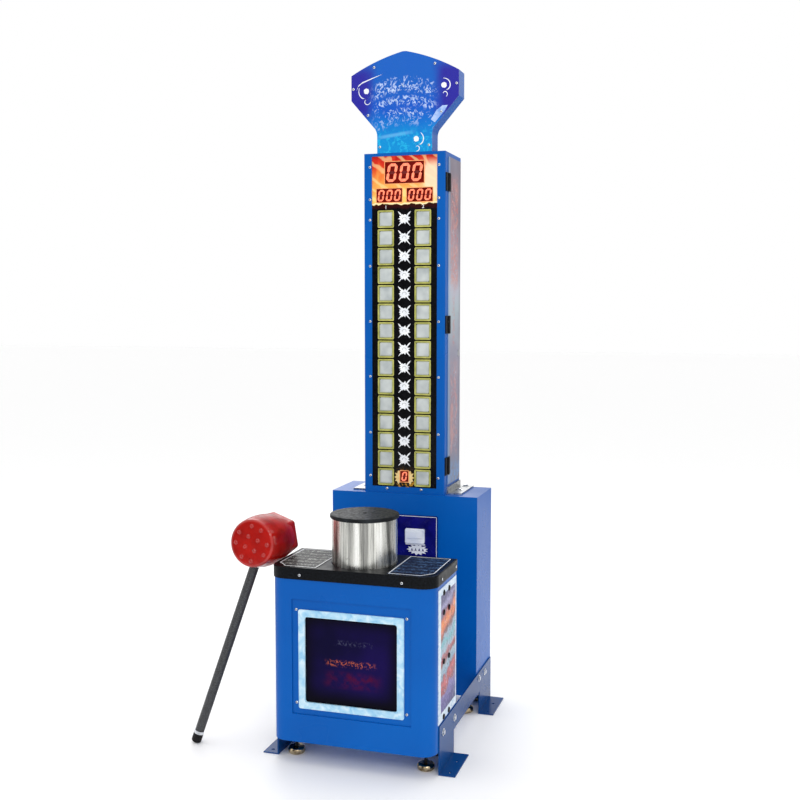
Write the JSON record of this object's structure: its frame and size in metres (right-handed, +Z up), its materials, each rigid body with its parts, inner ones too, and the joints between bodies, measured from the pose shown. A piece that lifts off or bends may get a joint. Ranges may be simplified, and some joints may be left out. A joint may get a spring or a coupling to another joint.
{
  "type": "hammer strength tester",
  "caption": "Free-standing arcade strength tester: sprung steel strike drum on a pedestal, tall lamp tower with score displays, shaped header and a rubber mallet.",
  "frame": {"origin": "on the floor, in the middle of the rectangle of the outer floor anchor holes, on the machine's centre plane", "axes": "+X to the right of a player facing the machine, +Y from the player to the back, +Z up"},
  "size_m": [0.8806, 0.7674, 2.25],
  "materials": {
    "art_film": "gloss",
    "black_plastic": "satin",
    "black_rubber": "matt",
    "black_screw": "satin",
    "black_steel": "satin",
    "black_top": "satin",
    "blue_paint": "gloss",
    "bracket_blue": "satin",
    "bronze": "satin",
    "circuit_green": "satin",
    "display_red": "gloss",
    "frame_pale": "gloss",
    "glide_chrome": "gloss",
    "grip_rubber": "textured",
    "header_art": "gloss",
    "lamp_lens": "satin",
    "lamp_yellow": "gloss",
    "navy_film": "gloss",
    "pane_dark": "gloss",
    "panel_black": "gloss",
    "plate_dark": "speckled",
    "red_plastic": "gloss",
    "red_rubber": "gloss",
    "silver": "gloss",
    "spring_steel": "satin",
    "steel": "brushed",
    "white_plastic": "gloss",
    "zinc_screw": "satin",
    "zinc_steel": "satin"
  },
  "bodies": {
    "root": {"buffer_ring": "black_rubber", "button_head_screws": "black_screw", "cabinet_shell": "blue_paint", "cash_box": "zinc_steel", "coin_mech": "black_plastic", "coin_slot_plate": "silver", "control_board": "circuit_green", "control_plate": "navy_film", "display_panel": "panel_black", "fixed_hinge_leaves": "black_steel", "foot_glides": "glide_chrome", "foot_stems": "black_steel", "frame_rails": "zinc_steel", "guide_bushes": "bronze", "guide_plates": "zinc_steel", "header_face": "header_art", "header_light": "white_plastic", "header_shell": "blue_paint", "hex_bolts": "zinc_screw", "hinge_pins": "zinc_steel", "impact_sensor": "black_plastic", "lamp_bezels": "lamp_yellow", "lamp_lenses": "lamp_lens", "light_boards": "circuit_green", "pan_head_screws": "zinc_screw", "pedestal_rear_panel": "blue_paint", "pedestal_shell": "blue_paint", "power_inlet": "black_plastic", "power_supply": "zinc_steel", "return_spring": "spring_steel", "score_displays": "display_red", "side_art_panels": "art_film", "side_brackets": "bracket_blue", "speaker": "black_plastic", "start_bezel": "white_plastic", "start_switch": "black_plastic", "table_plates": "plate_dark", "tabletop": "black_top", "tower_flanges": "zinc_steel", "tower_shell": "blue_paint", "window_frame": "frame_pale", "window_pane": "pane_dark", "wiring_conduit": "zinc_steel"},
    "target": {"strike_drum": "steel", "strike_plate": "zinc_steel", "strike_pad": "black_rubber", "plunger": "zinc_steel"},
    "start_button": {"start_button": "white_plastic"},
    "coin_reject": {"coin_reject_button": "red_plastic"},
    "tower_door": {"tower_door": "art_film", "tower_hinge_moving": "black_steel"},
    "tower_lock": {"tower_lock": "silver"},
    "cabinet_door": {"cabinet_door": "blue_paint", "cabinet_hinge_moving": "black_steel"},
    "cabinet_lock": {"cabinet_lock": "silver"},
    "power_rocker": {"power_rocker": "red_plastic"},
    "mallet": {"mallet_head": "red_rubber", "mallet_handle": "grip_rubber", "mallet_collar": "silver", "mallet_end_cap": "grip_rubber"}
  },
  "joints": [
    {"name": "target_strike", "type": "slide", "parent": "root", "child": "target", "axis": [0, 0, -1], "range_m": [0, 0.035], "stiffness_N_per_m": 6000, "springref_m": -0.02, "deforming": ["return_spring"]},
    {"name": "start_press", "type": "slide", "parent": "root", "child": "start_button", "axis": [0, 1, 0], "range_m": [0, 0.0035], "stiffness_N_per_m": 300, "springref_m": -0.002},
    {"name": "coin_reject_press", "type": "slide", "parent": "root", "child": "coin_reject", "axis": [0, 1, 0], "range_m": [0, 0.004], "stiffness_N_per_m": 200, "springref_m": -0.002},
    {"name": "tower_door_swing", "type": "hinge", "parent": "root", "child": "tower_door", "pos_m": [0.1483, 0.201, 1.349], "axis": [0, 0, -1], "range_deg": [0, 110]},
    {"name": "tower_lock_turn", "type": "hinge", "parent": "tower_door", "child": "tower_lock", "pos_m": [0.1453, 0.334, 1.24], "axis": [-1, 0, 0], "range_deg": [0, 90]},
    {"name": "cabinet_door_swing", "type": "hinge", "parent": "root", "child": "cabinet_door", "pos_m": [0.2291, 0.3813, 0.46], "axis": [0, 0, -1], "range_deg": [0, 110]},
    {"name": "cabinet_lock_turn", "type": "hinge", "parent": "cabinet_door", "child": "cabinet_lock", "pos_m": [-0.192, 0.3783, 0.46], "axis": [0, -1, 0], "range_deg": [0, 90]},
    {"name": "power_switch", "type": "hinge", "parent": "root", "child": "power_rocker", "pos_m": [0.12, 0.376, 0.134], "axis": [-1, 0, 0], "range_deg": [0, 16]},
    {"name": "mallet_lift", "type": "slide", "parent": "root", "child": "mallet", "axis": [0, 0, 1], "range_m": [0, 0.5]}
  ]
}
